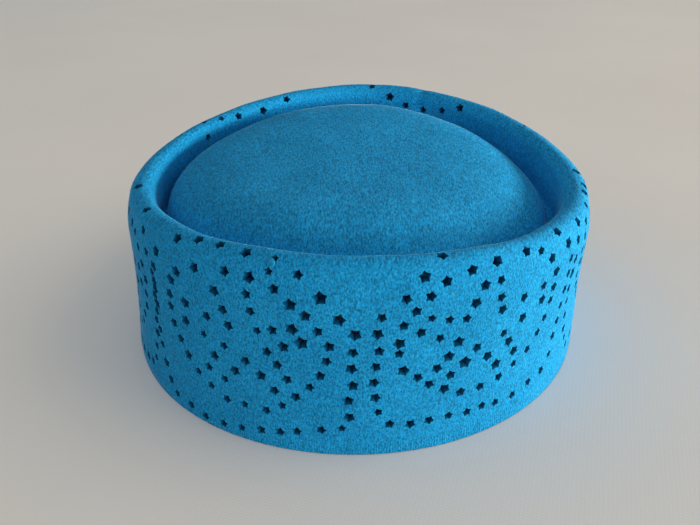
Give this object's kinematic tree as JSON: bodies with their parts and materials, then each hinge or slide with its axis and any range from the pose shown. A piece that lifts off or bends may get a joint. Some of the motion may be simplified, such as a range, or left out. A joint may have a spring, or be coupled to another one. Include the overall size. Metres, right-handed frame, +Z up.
{
  "type": "felt pillbox hat",
  "caption": "Low round felt hat with a rolled rim, a groove inside it and a low domed crown, its wall punched with flower and oval rows of small holes.",
  "frame": {"origin": "centre of the hat's outline on the plane that its hem stands on", "axes": "+Z up from the hem to the crown, front of the hat towards -Y, its right-hand side as seen from the front towards +X"},
  "size_m": [0.1848, 0.1956, 0.0717],
  "materials": {
    "blue_felt": "dyed wool felt with a short nap, matt"
  },
  "bodies": {
    "root": {"felt_hat": "blue_felt"}
  },
  "joints": []
}
